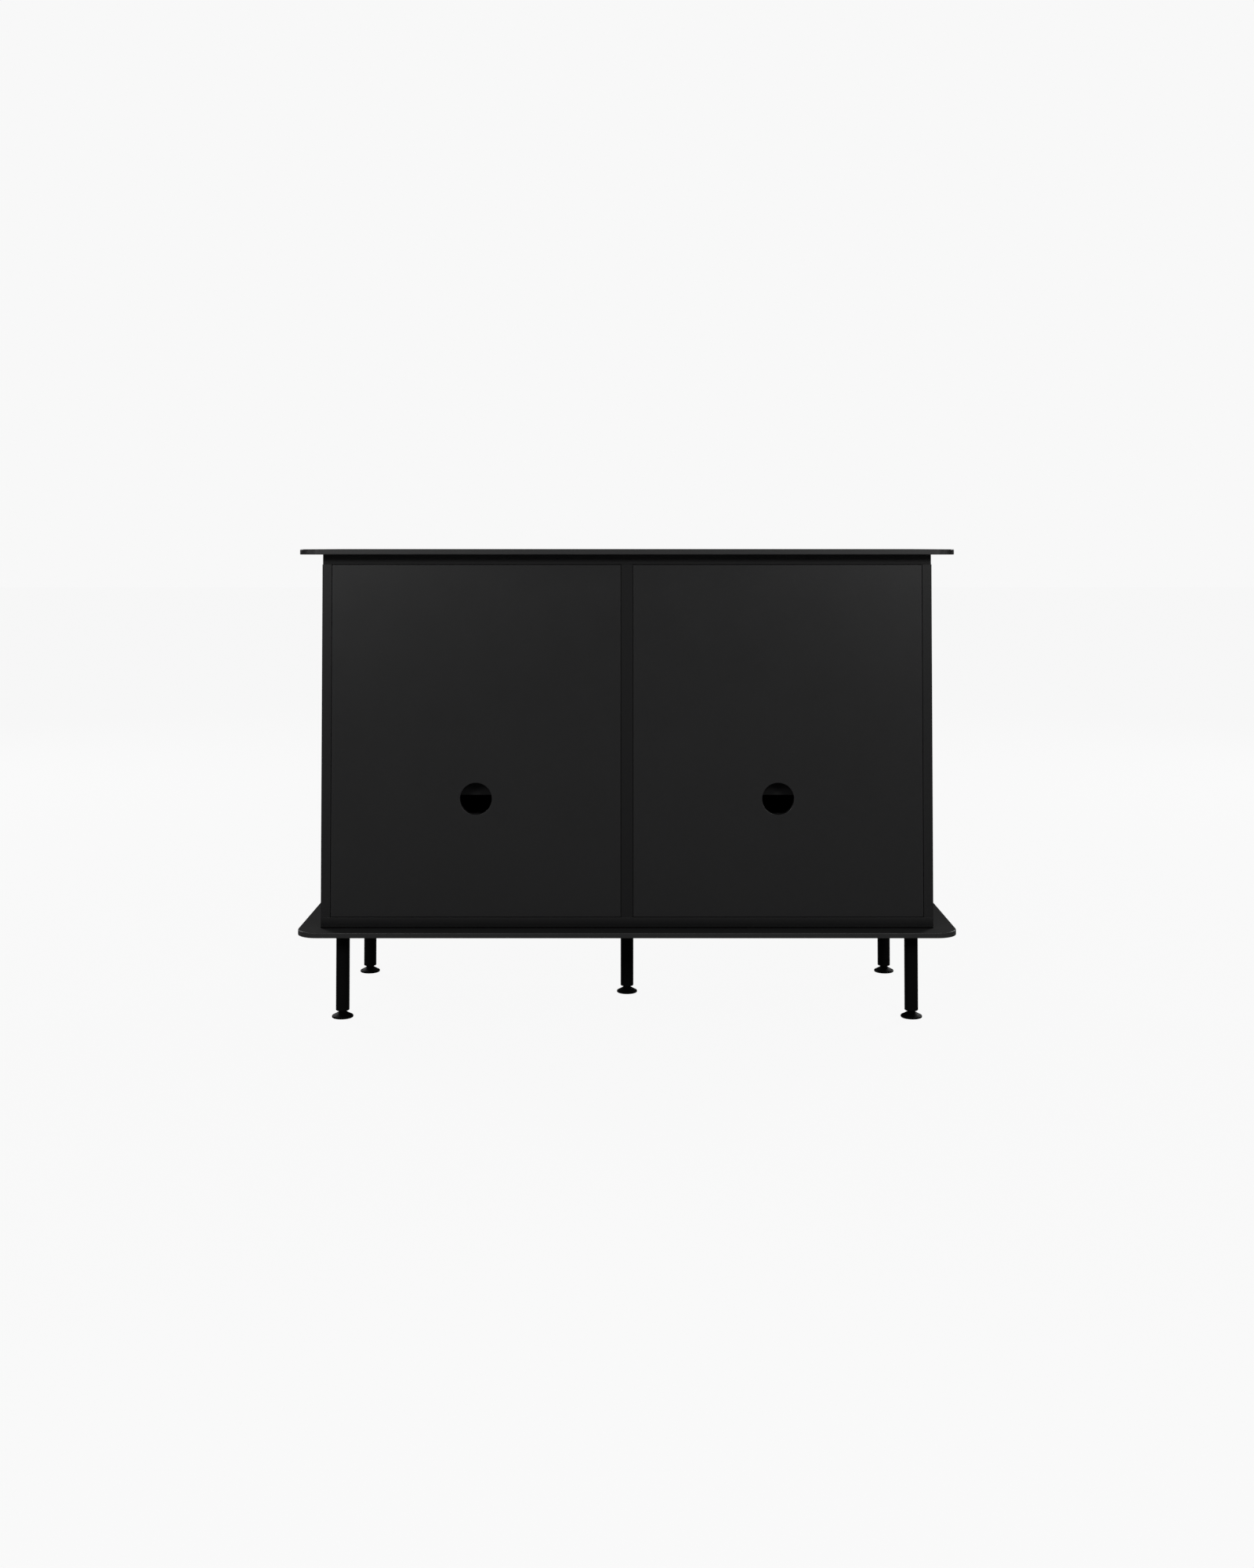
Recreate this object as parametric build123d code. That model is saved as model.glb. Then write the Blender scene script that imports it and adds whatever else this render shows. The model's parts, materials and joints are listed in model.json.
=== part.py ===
from build123d import *
import os

# Free-standing dresser, rear towards +Y, drawers towards -Y, +Z up.
# Origin: floor level, centre of the footprint.  All sizes in millimetres.

# ------------------------------------------------------------ driving sizes
W = 1060.0            # overall width, plate to plate edge
D = 450.0             # overall depth
H = 762.5             # overall height, feet screwed in
PLATE_T = 8.5         # top and bottom plates
PLATE_R = 35.0        # plan radius of the plate corners
PLATE_EDGE = 1.0      # softened plate edges
OVERHANG = 35.8       # plates stand proud of the carcass all round
LEG_CLEAR = 143.5     # floor to underside of the bottom plate

BOTTOM_T = 17.0       # carcass boards
TOP_T = 16.0
SIDE_T = 15.0
PARTITION_T = 19.0
BACK_T = 10.0
SEAM = 0.7            # shadow gap round each back panel
TOP_RECESS = 4.0      # top board stops short of the rear face
PARTITION_RECESS = 1.0

CABLE_R = 25.7        # cable outlet in each back panel
CABLE_Z = 359.4       # its centre above the floor
CLEAT = 12.0          # square cleats that carry the back panels

ROWS = 3
FRONT_T = 18.0
FRONT_GAP = 3.0       # round each inset drawer front
FRONT_EDGE = 1.2      # softened front edges
SLIDE_SPACE = 13.0    # per side, for a three-member slide
SLIDE_L = 300.0
BOX_L = 330.0         # drawer box behind the front
BOX_T = 12.0
BOX_H = 160.0
BOX_LIFT = 2.5        # box bottom above its row's floor
SLIDE_LIFT = 85.0     # slide centre line above its row's floor
GROOVE = 6.0          # depth of the groove that holds the drawer bottom
DBOTTOM_T = 5.0
TRAVEL = 300.0

LEG_R = 11.0
LEG_WALL = 2.0
LEG_INSET_X = 66.0    # leg axes from the plate ends
LEG_INSET_Y = 73.5    # leg axes from the front and rear edges
CENTRE_LEG_Y = -8.0   # centre leg, a touch nearer the front
LEG_PLUG = 24.0       # solid head of each leg, takes the leg bolt
LEG_END_R = 1.2       # softened lower end of the tube
FOOT_R = 17.4
FOOT_H = 9.0
FOOT_NECK = 2.5       # collar between foot and leg
NECK_R = 6.5
STUD_R = 5.0
BOLT_R = 4.0
CLEAR = 0.1           # radial clearance of screws in their holes

KNOB_R = 11.0
KNOB_L = 23.0

# ------------------------------------------------------------ derived planes
BX = W / 2 - OVERHANG                 # carcass half width, 494.2
BY = D / 2 - OVERHANG                 # carcass half depth, 189.2
Z0 = LEG_CLEAR + PLATE_T              # carcass underside, 152
Z1 = H - PLATE_T                      # carcass top, 754
ZI0 = Z0 + BOTTOM_T                   # inside floor, 169
ZI1 = Z1 - TOP_T                      # inside ceiling, 738
XI = BX - SIDE_T                      # inner face of the sides, 479.2
XP = PARTITION_T / 2                  # face of the partition, 9.5
PITCH = (ZI1 - ZI0) / ROWS            # 189.7
LEG_X = W / 2 - LEG_INSET_X           # 464
LEG_Y = D / 2 - LEG_INSET_Y           # 151.5
TUBE_Z = FOOT_H + FOOT_NECK           # lower end of the leg tubes, 11.5

os.makedirs("parts", exist_ok=True)


def block(x0, x1, y0, y1, z0, z1):
    """Box from corner to corner."""
    return Pos((x0 + x1) / 2, (y0 + y1) / 2, (z0 + z1) / 2) * Box(
        abs(x1 - x0), abs(y1 - y0), abs(z1 - z0)
    )


def rod(x, y, z0, z1, r):
    """Upright cylinder."""
    return Pos(x, y, (z0 + z1) / 2) * Cylinder(r, z1 - z0)


def rod_y(x, z, y0, y1, r):
    """Cylinder along Y."""
    return Pos(x, (y0 + y1) / 2, z) * Rot(90, 0, 0) * Cylinder(r, y1 - y0)


def save(name, *solids):
    """One STEP per node; a group of separate solids stays separate."""
    shape = solids[0] if len(solids) == 1 else Compound(children=list(solids))
    shape.label = name
    export_step(shape, "parts/" + name + ".step")


def one(shape):
    """The single solid of a boolean result."""
    got = shape.solids()
    assert len(got) == 1, len(got)
    return got[0]


# ------------------------------------------------------------ fasteners
# Carcass screws: flat-headed, driven through the top and bottom boards into
# the ends of the sides and the partition, heads under the plates.
SCREW_X = (-(BX - SIDE_T / 2), 0.0, BX - SIDE_T / 2)
SCREW_Y = (-120.0, 120.0)
HEAD_R, HEAD_T, SHANK_R, SHANK_L = 5.0, 3.0, 2.5, 50.0


def carcass_screw(x, y, top, grow=0.0):
    if top:
        return one(
            rod(x, y, Z1 - HEAD_T, Z1, HEAD_R + grow)
            + rod(x, y, Z1 - SHANK_L, Z1 - HEAD_T, SHANK_R + grow)
        )
    return one(
        rod(x, y, Z0, Z0 + HEAD_T, HEAD_R + grow)
        + rod(x, y, Z0 + HEAD_T, Z0 + SHANK_L, SHANK_R + grow)
    )


# Top plate screws: up through the top board into blind holes in the plate.
TP_X = (-440.0, -60.0, 60.0, 440.0)
TP_Y = (-140.0, 140.0)
TP_R, TP_HEAD_R, TP_HEAD_T, TP_BITE = 3.0, 6.0, 3.5, 5.0


def top_screw(x, y, grow=0.0):
    return one(
        rod(x, y, ZI1 - TP_HEAD_T, ZI1, TP_HEAD_R)
        + rod(x, y, ZI1, Z1 + TP_BITE, TP_R + grow)
    )


# Leg bolts: down through the bottom board and bottom plate into the leg.
LEGS = {
    "front_left": (-LEG_X, -LEG_Y),
    "front_right": (LEG_X, -LEG_Y),
    "rear_left": (-LEG_X, LEG_Y),
    "rear_right": (LEG_X, LEG_Y),
    "centre": (0.0, CENTRE_LEG_Y),
}
BOLT_HEAD_R, BOLT_HEAD_T, BOLT_L = 6.5, 8.0, 36.0


def leg_bolt(x, y, grow=0.0):
    return one(
        rod(x, y, ZI0 - BOLT_HEAD_T, ZI0, BOLT_HEAD_R + grow)
        + rod(x, y, ZI0 - BOLT_HEAD_T - BOLT_L, ZI0 - BOLT_HEAD_T, BOLT_R + grow)
    )


carcass_screws = {
    (x, y, t): carcass_screw(x, y, t) for x in SCREW_X for y in SCREW_Y for t in (True, False)
}
top_screws = [top_screw(x, y) for x in TP_X for y in TP_Y]
leg_bolts = {n: leg_bolt(*p) for n, p in LEGS.items()}

# ------------------------------------------------------------ plates


def plate(z):
    outline = Pos(0, 0, z) * RectangleRounded(W, D, PLATE_R)
    body = extrude(outline, PLATE_T)
    rims = body.faces().filter_by(Axis.Z)
    return fillet([e for f in rims for e in f.edges()], PLATE_EDGE)


top_plate = plate(Z1)
for x in TP_X:
    for y in TP_Y:
        top_plate -= rod(x, y, Z1, Z1 + TP_BITE + 0.5, TP_R + CLEAR)
save("top_plate", one(top_plate))

bottom_plate = plate(LEG_CLEAR)
for x, y in LEGS.values():
    bottom_plate -= rod(x, y, LEG_CLEAR, Z0, BOLT_R + CLEAR)
save("bottom_plate", one(bottom_plate))

# ------------------------------------------------------------ carcass boards
top_board = block(-BX, BX, -BY, BY - TOP_RECESS, ZI1, Z1)
for x in SCREW_X:
    for y in SCREW_Y:
        top_board -= carcass_screw(x, y, True, CLEAR)
for x in TP_X:
    for y in TP_Y:
        top_board -= rod(x, y, ZI1, Z1, TP_R + CLEAR)
save("carcass_top", one(top_board))

bottom_board = block(-BX, BX, -BY, BY, Z0, ZI0)
for x in SCREW_X:
    for y in SCREW_Y:
        bottom_board -= carcass_screw(x, y, False, CLEAR)
for p in LEGS.values():
    bottom_board -= leg_bolt(*p, CLEAR)
save("carcass_bottom", one(bottom_board))


def upright(x0, x1, y1, sx):
    body = block(x0, x1, -BY, y1, ZI0, ZI1)
    for y in SCREW_Y:
        for t in (True, False):
            body -= carcass_screw(sx, y, t, CLEAR)
    return one(body)


save("carcass_side_left", upright(-BX, -XI, BY, SCREW_X[0]))
save("carcass_side_right", upright(XI, BX, BY, SCREW_X[2]))
save("partition", upright(-XP, XP, BY - PARTITION_RECESS, 0.0))

# Back panels: set in flush with the rear edges, one cable outlet in each.
CABLE_X = (XP + XI) / 2
for side, s in (("left", -1), ("right", 1)):
    xa, xb = sorted((s * (XP + SEAM), s * (XI - SEAM)))
    back = block(xa, xb, BY - BACK_T, BY, ZI0 + SEAM, ZI1 - SEAM)
    back -= rod_y(s * CABLE_X, CABLE_Z, BY - BACK_T - 1, BY + 1, CABLE_R)
    save("back_panel_" + side, one(back))

cleats = []
CY0, CY1 = BY - BACK_T - CLEAT, BY - BACK_T
for s in (-1, 1):
    for xa, xb in ((XP, XP + CLEAT), (XI - CLEAT, XI)):
        lo, hi = sorted((s * xa, s * xb))
        cleats.append(block(lo, hi, CY0, CY1, ZI0, ZI1))
    lo, hi = sorted((s * (XP + CLEAT), s * (XI - CLEAT)))
    for z0, z1 in ((ZI0, ZI0 + CLEAT), (ZI1 - CLEAT, ZI1)):
        cleats.append(block(lo, hi, CY0, CY1, z0, z1))
save("back_cleats", *cleats)

save("carcass_screws", *carcass_screws.values())
save("top_plate_screws", *top_screws)
save("leg_bolts", *leg_bolts.values())

# ------------------------------------------------------------ legs and feet
for name, (x, y) in LEGS.items():
    leg = rod(x, y, TUBE_Z, LEG_CLEAR, LEG_R)
    leg = fillet(leg.edges().sort_by(Axis.Z)[0], LEG_END_R)
    leg -= rod(x, y, TUBE_Z + 30, LEG_CLEAR - LEG_PLUG, LEG_R - LEG_WALL)
    leg -= rod(x, y, TUBE_Z, TUBE_Z + 30, STUD_R + CLEAR)
    leg -= rod(x, y, LEG_CLEAR - LEG_PLUG, LEG_CLEAR, BOLT_R + CLEAR)
    save("leg_" + name, one(leg))

    # domed levelling foot with its threaded stud, screwed almost fully in
    with BuildPart() as foot:
        with BuildSketch(Plane.XZ):
            with BuildLine():
                Polyline((0, 0), (FOOT_R - 1.4, 0))
                ThreePointArc((FOOT_R - 1.4, 0), (FOOT_R - 0.41, 0.41), (FOOT_R, 1.4))
                Polyline((FOOT_R, 1.4), (FOOT_R, 2.2))
                ThreePointArc((FOOT_R, 2.2), (FOOT_R - 0.3, 2.95), (FOOT_R - 1.1, 3.5))
                ThreePointArc((FOOT_R - 1.1, 3.5), (FOOT_R - 6.0, 6.1), (NECK_R, FOOT_H))
                Polyline(
                    (NECK_R, FOOT_H), (NECK_R, TUBE_Z), (STUD_R, TUBE_Z), (STUD_R, 36.0),
                    (STUD_R - 1.0, 37.0), (0, 37.0), (0, 0),
                )
            make_face()
        revolve(axis=Axis.Z)
    save("foot_" + name, one(Pos(x, y, 0) * foot.part))

# ------------------------------------------------------------ drawer slides
# Three nested steel channels per side.  u is measured from the cabinet face
# towards the drawer box; z is from the slide's centre line.
SLIDE_Y0 = -BY + FRONT_T + 3.0
SLIDE_Y1 = SLIDE_Y0 + SLIDE_L


def channel(face, s, zc, web, web_z, flange, flange_z, t=1.2):
    def bar(u0, u1, z0, z1):
        a, b = sorted((face + s * u0, face + s * u1))
        return block(a, b, SLIDE_Y0, SLIDE_Y1, zc + z0, zc + z1)

    body = bar(*web, -web_z, web_z)
    body += bar(*flange, flange_z, flange_z + t)
    body += bar(*flange, -flange_z - t, -flange_z)
    return one(body)


def rail_outer(face, s, zc):
    return channel(face, s, zc, (0, 1.2), 22.5, (0, 9.0), 21.3)


def rail_middle(face, s, zc):
    return channel(face, s, zc, (2.4, 3.6), 19.5, (2.4, 10.4), 18.3)


def rail_inner(face, s, zc):
    return channel(face, s, zc, (11.8, 13.0), 16.4, (5.0, 13.0), 15.2)


BAYS = {"left": (-XI, -XP), "right": (XP, XI)}
ROW_NAMES = ("bottom", "middle", "top")
outer_rails = []

for row, row_name in enumerate(ROW_NAMES):
    floor = ZI0 + row * PITCH
    for bay, (xa, xb) in BAYS.items():
        key = row_name + "_" + bay
        zc = floor + SLIDE_LIFT
        sides = ((xa, 1), (xb, -1))
        outer_rails += [rail_outer(f, s, zc) for f, s in sides]
        save("slide_" + key, *[rail_middle(f, s, zc) for f, s in sides])
        save("drawer_" + key + "_runners", *[rail_inner(f, s, zc) for f, s in sides])

        # inset front, gap all round, knob hole through its centre
        fx0, fx1 = xa + FRONT_GAP, xb - FRONT_GAP
        fz0, fz1 = floor + FRONT_GAP / 2, floor + PITCH - FRONT_GAP / 2
        cx, cz = (fx0 + fx1) / 2, (fz0 + fz1) / 2
        front = block(fx0, fx1, -BY, -BY + FRONT_T, fz0, fz1)
        front = fillet(front.faces().sort_by(Axis.Y)[0].edges(), FRONT_EDGE)
        # box: sides, back, and a thin bottom let into a groove
        x0, x1 = xa + SLIDE_SPACE, xb - SLIDE_SPACE
        y0, y1 = -BY + FRONT_T, -BY + FRONT_T + BOX_L
        z0, z1 = floor + BOX_LIFT, floor + BOX_LIFT + BOX_H
        gz0, gz1 = z0 + 10, z0 + 10 + DBOTTOM_T
        groove = block(
            x0 + BOX_T - GROOVE, x1 - BOX_T + GROOVE, y0 - GROOVE, y1 - BOX_T + GROOVE, gz0, gz1
        )
        front -= groove
        front -= rod_y(cx, cz, -BY - 1, -BY + FRONT_T + 1, 2.2)
        save("drawer_" + key + "_front", one(front))
        side_a = block(x0, x0 + BOX_T, y0, y1, z0, z1) - groove
        side_b = block(x1 - BOX_T, x1, y0, y1, z0, z1) - groove
        rear = block(x0 + BOX_T, x1 - BOX_T, y1 - BOX_T, y1, z0, z1) - groove
        save("drawer_" + key + "_box", one(side_a), one(side_b), one(rear))
        c = 0.5
        save(
            "drawer_" + key + "_bottom",
            block(
                x0 + BOX_T - GROOVE + c, x1 - BOX_T + GROOVE - c,
                y0 - GROOVE + c, y1 - BOX_T + GROOVE - c, gz0, gz1,
            ),
        )
        # turned knob and the screw that holds it from inside the drawer
        with BuildPart() as knob:
            with BuildSketch(Plane.XZ):
                with BuildLine():
                    Polyline((0, 0), (6.0, 0), (6.0, 1.5))
                    ThreePointArc((6.0, 1.5), (4.9, 5.5), (6.0, 10.0))
                    ThreePointArc((6.0, 10.0), (7.6, 12.1), (KNOB_R, 13.5))
                    Polyline((KNOB_R, 13.5), (KNOB_R, KNOB_L - 1.5))
                    ThreePointArc(
                        (KNOB_R, KNOB_L - 1.5), (KNOB_R - 0.44, KNOB_L - 0.44), (KNOB_R - 1.5, KNOB_L)
                    )
                    Polyline((KNOB_R - 1.5, KNOB_L), (0, KNOB_L), (0, 0))
                make_face()
            revolve(axis=Axis.Z)
        at = Pos(cx, -BY, cz) * Rot(90, 0, 0)
        body = at * (knob.part - Pos(0, 0, 5.5) * Cylinder(2.0 + CLEAR, 11.0))
        screw = rod_y(cx, cz, -BY - 10, -BY + FRONT_T, 2.0) + rod_y(
            cx, cz, -BY + FRONT_T, -BY + FRONT_T + 2.4, 4.0
        )
        save("drawer_" + key + "_knob", one(body), one(screw))

save("slide_cabinet_members", *outer_rails)
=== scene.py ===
import json
import math

import bpy
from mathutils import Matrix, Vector

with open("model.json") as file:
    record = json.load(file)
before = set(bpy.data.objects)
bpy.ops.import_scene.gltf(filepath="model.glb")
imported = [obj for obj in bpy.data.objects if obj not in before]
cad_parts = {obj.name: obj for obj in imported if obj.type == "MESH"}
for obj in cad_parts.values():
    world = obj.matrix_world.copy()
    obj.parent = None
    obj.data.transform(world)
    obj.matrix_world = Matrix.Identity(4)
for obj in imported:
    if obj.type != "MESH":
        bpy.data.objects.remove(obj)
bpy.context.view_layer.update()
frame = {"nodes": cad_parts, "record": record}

NODES = frame["nodes"]
PLAIN = list(bpy.data.materials)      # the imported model's plain finishes, all replaced below
for m in PLAIN:
    m.name = "plain_" + m.name
scene = bpy.context.scene
ROWS = ("bottom", "middle", "top")
BAYS = ("left", "right")
FEET = ("front_left", "front_right", "rear_left", "rear_right", "centre")
KEYS = [r + "_" + b for r in ROWS for b in BAYS]


# ---------------------------------------------------------------- camera
# Behind the dresser, level with its top, verticals almost upright.
cam_data = bpy.data.cameras.new("camera")
cam = bpy.data.objects.new("camera", cam_data)
scene.collection.objects.link(cam)
cam.location = (0.0, 2.9991, 0.7660)
cam.rotation_euler = (math.radians(90.0 + 1.7172), 0.0, math.radians(180.0))
cam_data.sensor_width = 36.0
cam_data.lens = 39.731
cam_data.shift_y = -0.18414
cam_data.clip_end = 200.0
scene.camera = cam


# ---------------------------------------------------------------- node helpers
class Mat:
    """A material and short calls to wire its nodes."""

    def __init__(self, name):
        self.m = bpy.data.materials.new(name)
        self.m.use_nodes = True
        self.t = self.m.node_tree
        self.t.nodes.clear()
        self.out = self.t.nodes.new("ShaderNodeOutputMaterial")
        self.p = self.t.nodes.new("ShaderNodeBsdfPrincipled")
        self.t.links.new(self.p.outputs[0], self.out.inputs[0])
        self.geo = self.t.nodes.new("ShaderNodeNewGeometry")
        self.pos = self.t.nodes.new("ShaderNodeTexCoord").outputs["Object"]

    def set(self, **kw):
        for k, v in kw.items():
            s = self.p.inputs[k.replace("_", " ")]
            s.default_value = (*v, 1.0) if isinstance(v, tuple) and len(v) == 3 else v

    def link(self, a, b):
        self.t.links.new(a, b)

    def node(self, kind, **kw):
        n = self.t.nodes.new(kind)
        for k, v in kw.items():
            setattr(n, k, v)
        return n

    def scaled(self, scale, rot=(0, 0, 0)):
        """Object coordinates, stretched; metres times scale."""
        n = self.node("ShaderNodeMapping")
        self.link(self.pos, n.inputs["Vector"])
        n.inputs["Scale"].default_value = scale if isinstance(scale, tuple) else (scale,) * 3
        n.inputs["Rotation"].default_value = rot
        return n.outputs[0]

    def noise(self, scale, detail=3.0, rough=0.5, vec=None, distortion=0.0):
        n = self.node("ShaderNodeTexNoise")
        n.inputs["Scale"].default_value = scale
        n.inputs["Detail"].default_value = detail
        n.inputs["Roughness"].default_value = rough
        n.inputs["Distortion"].default_value = distortion
        self.link(self.pos if vec is None else vec, n.inputs["Vector"])
        return n.outputs["Fac"]

    def span(self, fac, lo, hi, a=0.0, b=1.0):
        """fac from lo..hi to a..b, clamped."""
        n = self.node("ShaderNodeMapRange")
        n.inputs["From Min"].default_value = lo
        n.inputs["From Max"].default_value = hi
        n.inputs["To Min"].default_value = a
        n.inputs["To Max"].default_value = b
        self.link(fac, n.inputs["Value"])
        return n.outputs[0]

    def math(self, op, a, b=None, c=None):
        n = self.node("ShaderNodeMath", operation=op)
        for i, v in enumerate((a, b, c)):
            if v is None:
                continue
            if isinstance(v, (int, float)):
                n.inputs[i].default_value = v
            else:
                self.link(v, n.inputs[i])
        return n.outputs[0]

    def mix(self, fac, a, b):
        n = self.node("ShaderNodeMix", data_type="RGBA")
        if isinstance(fac, (int, float)):
            n.inputs[0].default_value = fac
        else:
            self.link(fac, n.inputs[0])
        for i, v in ((6, a), (7, b)):
            if isinstance(v, tuple):
                n.inputs[i].default_value = (*v, 1.0)
            else:
                self.link(v, n.inputs[i])
        return n.outputs[2]

    def bump(self, height, strength, distance, normal=None):
        n = self.node("ShaderNodeBump")
        n.inputs["Strength"].default_value = strength
        n.inputs["Distance"].default_value = distance
        self.link(height, n.inputs["Height"])
        if normal is not None:
            self.link(normal, n.inputs["Normal"])
        return n.outputs[0]

    def edges(self, rim_only=False):
        """About 1 on softened edges of square-cut pieces, 0 on their faces."""
        s = self.node("ShaderNodeSeparateXYZ")
        self.link(self.geo.outputs["Normal"], s.inputs[0])
        z = self.math("ABSOLUTE", s.outputs[2])
        if rim_only:
            up = self.span(z, 0.06, 0.35)
            top = self.span(z, 0.80, 0.985, 1.0, 0.0)
            return self.math("MULTIPLY", up, top)
        x = self.math("ABSOLUTE", s.outputs[0])
        y = self.math("ABSOLUTE", s.outputs[1])
        big = self.math("MAXIMUM", self.math("MAXIMUM", x, y), z)
        return self.span(big, 0.80, 0.985, 1.0, 0.0)


def lacquer(name, base, rough, peel=0.10, wear_and_highlight=0.5, rim_only=False, gloss=0.5, painted_shade=None):
    """Satin black lacquer on board: orange peel, slow drift of sheen, thin edges lightened partly as wear and partly
    as a painted highlight.

    The last argument, given as (height, share) pairs, sets the share of colour and gloss left at each
    height: a painted shade that darkens the board towards the joint below.
    """
    m = Mat(name)
    drift = m.noise(2.3, 3.0, 0.55)
    cloud = m.noise(19.0, 4.0, 0.6)
    fine = m.noise(900.0, 2.0, 0.5)
    dark = tuple(c * 0.95 for c in base)
    light = tuple(c * 1.06 for c in base)
    col = m.mix(m.span(drift, 0.3, 0.7), dark, light)
    # tiny lighter specks of dust nib in the lacquer
    speck = m.span(m.noise(2600.0, 1.0, 0.5), 0.80, 0.86)
    col = m.mix(m.math("MULTIPLY", speck, 0.25), col, tuple(c * 2.5 + 0.01 for c in base))
    rub = m.span(m.noise(34.0, 5.0, 0.65), 0.45, 0.72)
    edge = m.math("MULTIPLY", m.edges(rim_only), m.span(rub, 0.0, 1.0, 0.25, 1.0))
    edge = m.math("MULTIPLY", edge, wear_and_highlight)
    # lighter edges: partly rubbed wear, partly a painted highlight along the softened edges and plate rims
    col = m.mix(edge, col, tuple(c * 1.8 + 0.012 for c in base))
    # painted shade: colour and gloss scaled down by height, darkest at the board's lower edge where the plate below
    # meets it
    if painted_shade:
        z = m.node("ShaderNodeSeparateXYZ")
        m.link(m.pos, z.inputs[0])
        share = painted_shade[0][1]
        for (z0, a), (z1, b) in zip(painted_shade, painted_shade[1:]):
            share = m.math("ADD", m.span(z.outputs[2], z0, z1, 0.0, b - a), share)
        col = m.mix(share, (0.0, 0.0, 0.0), col)
        m.link(m.math("MULTIPLY", share, gloss), m.p.inputs["Specular IOR Level"])
    m.link(col, m.p.inputs["Base Color"])
    r = m.span(cloud, 0.3, 0.7, rough - 0.008, rough + 0.010)
    r = m.math("ADD", r, m.span(fine, 0.35, 0.65, -0.012, 0.012))
    r = m.math("SUBTRACT", r, m.math("MULTIPLY", edge, 0.08))
    m.link(r, m.p.inputs["Roughness"])
    peel_a = m.noise(420.0, 2.0, 0.45)
    n1 = m.bump(peel_a, peel, 0.0004)
    n2 = m.bump(fine, peel * 0.5, 0.00012, n1)
    m.link(n2, m.p.inputs["Normal"])
    m.set(IOR=1.48)
    if not painted_shade:
        m.set(Specular_IOR_Level=gloss)
    return m


def powder(name, base, rough, gloss=0.5):
    """Fine-textured powder coat on steel."""
    m = Mat(name)
    grit = m.noise(2200.0, 2.5, 0.55)
    lump = m.noise(640.0, 2.0, 0.5)
    col = m.mix(m.span(grit, 0.35, 0.7), tuple(c * 0.8 for c in base), tuple(c * 1.25 for c in base))
    m.link(col, m.p.inputs["Base Color"])
    m.link(m.span(m.noise(22.0, 4.0, 0.6), 0.3, 0.7, rough - 0.03, rough + 0.04), m.p.inputs["Roughness"])
    n1 = m.bump(lump, 0.10, 0.00035)
    m.link(m.bump(grit, 0.16, 0.00012, n1), m.p.inputs["Normal"])
    m.set(IOR=1.5, Specular_IOR_Level=gloss)
    return m


def plastic(name, base, rough, gloss=0.5):
    """Moulded plastic with a fine spark-eroded texture."""
    m = Mat(name)
    grain = m.noise(3000.0, 2.0, 0.6)
    col = m.mix(m.span(m.noise(60.0, 3.0, 0.5), 0.3, 0.7), tuple(c * 0.9 for c in base), tuple(c * 1.12 for c in base))
    m.link(col, m.p.inputs["Base Color"])
    m.link(m.span(grain, 0.3, 0.7, rough - 0.04, rough + 0.05), m.p.inputs["Roughness"])
    m.link(m.bump(grain, 0.15, 0.0001), m.p.inputs["Normal"])
    m.set(IOR=1.49, Specular_IOR_Level=gloss)
    return m


def zinc(name):
    """Bright zinc-plated steel, rolled along Y, with a faint spangle."""
    m = Mat(name)
    line = m.noise(60.0, 4.0, 0.6, vec=m.scaled((40.0, 0.6, 40.0)))
    spangle = m.noise(240.0, 3.0, 0.6)
    col = m.mix(m.span(spangle, 0.35, 0.7), (0.50, 0.51, 0.53), (0.66, 0.67, 0.68))
    m.link(col, m.p.inputs["Base Color"])
    m.link(m.span(line, 0.3, 0.7, 0.26, 0.40), m.p.inputs["Roughness"])
    m.link(m.bump(line, 0.06, 0.0002), m.p.inputs["Normal"])
    m.set(Metallic=1.0)
    return m


def melamine(name, base, rough, gloss=0.5):
    """Dark faced board for the insides: a fine embossed weave of pores."""
    m = Mat(name)
    pore = m.noise(900.0, 3.0, 0.6, vec=m.scaled((1.0, 0.22, 1.0)))
    cloud = m.noise(7.0, 4.0, 0.6)
    col = m.mix(m.span(cloud, 0.3, 0.7), tuple(c * 0.85 for c in base), tuple(c * 1.15 for c in base))
    col = m.mix(m.math("MULTIPLY", m.span(pore, 0.56, 0.75), 0.5), col, tuple(c * 0.55 for c in base))
    # lighter edges: partly edge wear, partly a painted highlight along the softened edges
    edge = m.math("MULTIPLY", m.edges(), 0.35)
    col = m.mix(edge, col, tuple(c * 1.6 + 0.002 for c in base))
    m.link(col, m.p.inputs["Base Color"])
    m.link(m.span(pore, 0.3, 0.75, rough - 0.05, rough + 0.08), m.p.inputs["Roughness"])
    m.link(m.bump(pore, 0.20, 0.00015), m.p.inputs["Normal"])
    m.set(IOR=1.46, Specular_IOR_Level=gloss)
    return m


BLACK = (0.0100, 0.0100, 0.0104)
M = {
    "plate_lacquer": lacquer("plate_lacquer", (0.0152, 0.0152, 0.0157), 0.42, 0.09, 0.55, rim_only=True, gloss=0.54).m,
    "carcass_lacquer": lacquer("carcass_lacquer", (0.0104, 0.0104, 0.0108), 0.38, 0.10, 0.4, gloss=0.36).m,
    "front_lacquer": lacquer("front_lacquer", BLACK, 0.35, 0.09, 0.5).m,
    "drawer_board": melamine("drawer_board", (0.0052, 0.0052, 0.0055), 0.55, 0.22).m,
    "drawer_base": melamine("drawer_base", (0.0200, 0.0196, 0.0196), 0.62).m,
    "leg_powder_coat": powder("leg_powder_coat", (0.0047, 0.0047, 0.0049), 0.34, 0.04).m,
    "knob_metal": powder("knob_metal", (0.0120, 0.0120, 0.0125), 0.30).m,
    "foot_plastic": plastic("foot_plastic", (0.0022, 0.0022, 0.0024), 0.50, 0.06).m,
    "zinc_steel": zinc("zinc_steel").m,
}
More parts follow.
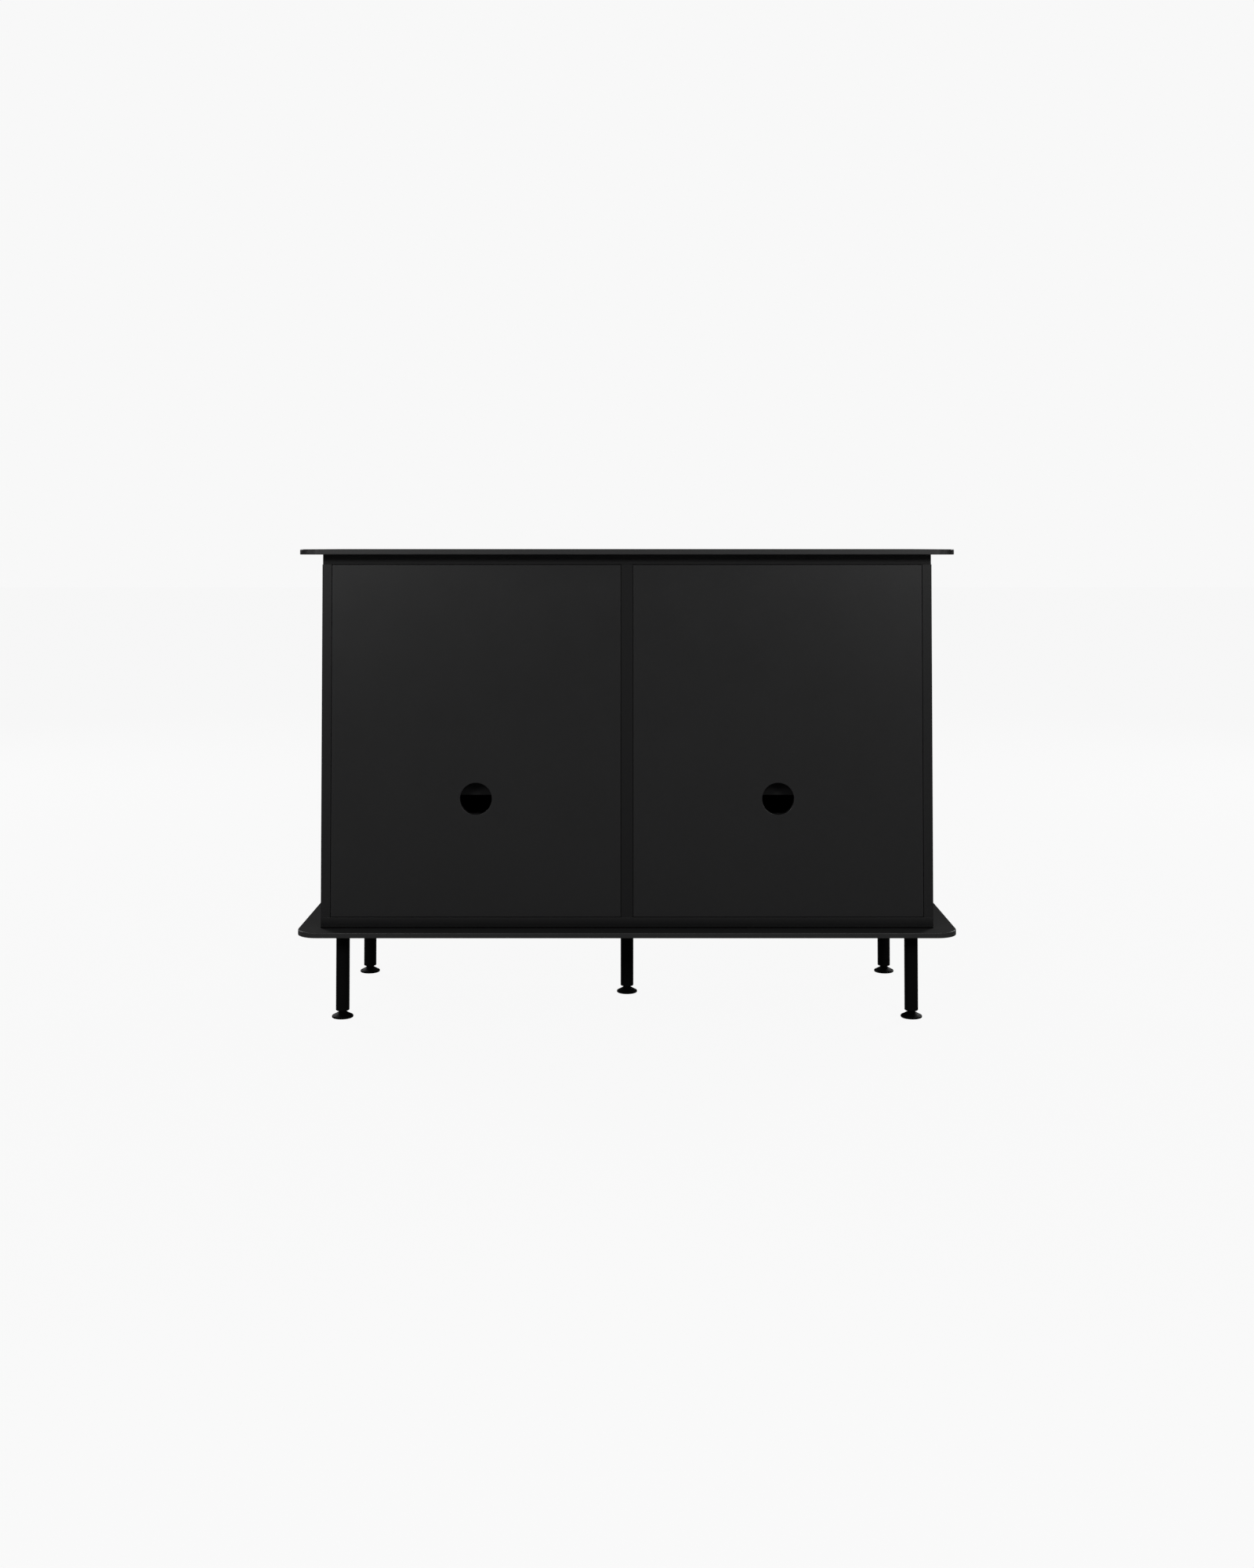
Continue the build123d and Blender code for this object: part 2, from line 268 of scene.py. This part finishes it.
# The back panels are the glossiest boards; the lacquered board edges that the
# partition and the carcass top and bottom show are flatter.
PANEL = lacquer("panel_lacquer", (0.0116, 0.0116, 0.0120), 0.345, 0.10, 0.35).m
EDGE = lacquer("edge_lacquer", (0.0112, 0.0112, 0.0116), 0.46, 0.12, 0.3, gloss=0.18).m
TOP = lacquer("top_lacquer", (0.0150, 0.0150, 0.0155), 0.46, 0.12, 0.3, gloss=0.26).m
# The bottom board's colour and gloss carry a painted shade, darker towards its joint with the bottom plate.
BASE = lacquer("base_lacquer", (0.0104, 0.0104, 0.0108), 0.46, 0.12, 0.3, gloss=0.34,
               painted_shade=((0.1526, 0.06), (0.1545, 0.52), (0.1585, 0.52), (0.1690, 0.95))).m
OWN = {
    "back_panel_left": PANEL,
    "back_panel_right": PANEL,
    "partition": EDGE,
    "carcass_top": TOP,
    "carcass_bottom": BASE,
}

# ---------------------------------------------------------------- CAD nodes
SLOT = {s["node"]: s["material_slot"] for s in frame["record"]["subparts"]}
BEVEL = {
    "carcass_lacquer": 0.0006,
    "front_lacquer": 0.0004,
    "drawer_board": 0.0006,
    "drawer_base": 0.0003,
    "plate_lacquer": 0.0003,
    "leg_powder_coat": 0.0003,
    "knob_metal": 0.0003,
    "foot_plastic": 0.0003,
    "zinc_steel": 0.00025,
}
for name, ob in NODES.items():
    slot = SLOT[name]
    me = ob.data
    if not me.materials:
        me.materials.append(M[slot])
    for i in range(len(me.materials)):
        me.materials[i] = OWN.get(name, M[slot])
    weld = ob.modifiers.new("weld", "WELD")
    weld.merge_threshold = 0.00001
    bev = ob.modifiers.new("edge", "BEVEL")
    bev.width = BEVEL[slot]
    bev.segments = 2
    bev.limit_method = "ANGLE"
    bev.angle_limit = math.radians(40)
    bev.use_clamp_overlap = True
    bev.harden_normals = False
    wn = ob.modifiers.new("shade", "WEIGHTED_NORMAL")
    wn.mode = "FACE_AREA"
    wn.weight = 50
    wn.keep_sharp = False
for m in PLAIN:
    if m.users == 0:
        bpy.data.materials.remove(m)


# ---------------------------------------------------------------- stage
def sweep_mat(name, glow, albedo, bounce):
    """Pale sweep, evenly lit, so that only a trace of shadow shows on it."""
    m = bpy.data.materials.new(name)
    m.use_nodes = True
    t = m.node_tree
    t.nodes.clear()
    out = t.nodes.new("ShaderNodeOutputMaterial")
    add = t.nodes.new("ShaderNodeAddShader")
    em = t.nodes.new("ShaderNodeEmission")
    df = t.nodes.new("ShaderNodeBsdfDiffuse")
    lp = t.nodes.new("ShaderNodeLightPath")
    mul = t.nodes.new("ShaderNodeMath")
    mul.operation = "MULTIPLY"
    t.links.new(lp.outputs["Is Camera Ray"], mul.inputs[0])
    mul.inputs[1].default_value = glow
    t.links.new(mul.outputs[0], em.inputs["Strength"])
    em.inputs["Color"].default_value = (1, 1, 1, 1)
    alb = t.nodes.new("ShaderNodeMix")
    alb.data_type = "RGBA"
    t.links.new(lp.outputs["Is Camera Ray"], alb.inputs[0])
    alb.inputs[6].default_value = (bounce, bounce, bounce, 1)
    alb.inputs[7].default_value = (albedo, albedo, albedo, 1)
    t.links.new(alb.outputs[2], df.inputs["Color"])
    t.links.new(em.outputs[0], add.inputs[0])
    t.links.new(df.outputs[0], add.inputs[1])
    t.links.new(add.outputs[0], out.inputs[0])
    return m


floor_me = bpy.data.meshes.new("floor")
S = 30.0
floor_me.from_pydata([(-S, -S, 0), (S, -S, 0), (S, S, 0), (-S, S, 0)], [], [(0, 1, 2, 3)])
floor = bpy.data.objects.new("floor", floor_me)
floor.location = (0, 0, -0.0004)
scene.collection.objects.link(floor)
floor_me.materials.append(sweep_mat("floor", 0.926, 0.035, 0.32))

# What the lights don't cover: a low band behind and before the piece, a dim
# upper dome, and a brighter patch overhead.
world = bpy.data.worlds.new("studio")
scene.world = world
world.use_nodes = True
t = world.node_tree
t.nodes.clear()
w_out = t.nodes.new("ShaderNodeOutputWorld")
w_mix = t.nodes.new("ShaderNodeMixShader")
w_lp = t.nodes.new("ShaderNodeLightPath")
w_cam = t.nodes.new("ShaderNodeBackground")
w_cam.inputs["Color"].default_value = (1, 1, 1, 1)
w_cam.inputs["Strength"].default_value = 0.939
w_env = t.nodes.new("ShaderNodeBackground")
w_tc = t.nodes.new("ShaderNodeTexCoord")
w_sep = t.nodes.new("ShaderNodeSeparateXYZ")
t.links.new(w_tc.outputs["Generated"], w_sep.inputs[0])
w_ramp = t.nodes.new("ShaderNodeValToRGB")
BANDS = ((0.00, 0.064), (0.10, 0.062), (0.16, 0.006), (0.34, 0.006), (0.45, 0.030), (0.68, 0.034), (0.74, 0.115), (1.00, 0.130))
el = w_ramp.color_ramp.elements
while len(el) < len(BANDS):
    el.new(0.5)
for e, (at, v) in zip(el, BANDS):
    e.position = at
    e.color = (v, v, v, 1)
t.links.new(w_sep.outputs[2], w_ramp.inputs[0])
t.links.new(w_ramp.outputs[0], w_env.inputs["Color"])
w_env.inputs["Strength"].default_value = 1.0
t.links.new(w_lp.outputs["Is Camera Ray"], w_mix.inputs[0])
t.links.new(w_env.outputs[0], w_mix.inputs[1])
t.links.new(w_cam.outputs[0], w_mix.inputs[2])
t.links.new(w_mix.outputs[0], w_out.inputs[0])


def softbox(name, at, aim, size, power):
    d = bpy.data.lights.new(name, "AREA")
    d.shape = "RECTANGLE"
    d.size, d.size_y = size
    d.energy = power
    o = bpy.data.objects.new(name, d)
    o.location = at
    o.rotation_euler = (Vector(aim) - Vector(at)).to_track_quat("-Z", "Y").to_euler()
    scene.collection.objects.link(o)
    return o


for tag, sx in (("left", 1), ("right", -1)):
    softbox("key_" + tag, (1.7 * sx, 3.7, 1.9), (0.25 * sx, 0.1, 0.55), (0.9, 0.9), 41.0)
    softbox("side_" + tag, (3.8 * sx, 1.9, 1.6), (0.25 * sx, 0.1, 0.55), (1.2, 2.0), 14.9)
    softbox("front_" + tag, (3.0 * sx, -3.0, 2.2), (0.25 * sx, -0.1, 0.5), (1.2, 1.4), 59.5)

scene.view_settings.view_transform = "Standard"
scene.view_settings.look = "None"
scene.view_settings.exposure = 0.0
scene.view_settings.gamma = 1.0
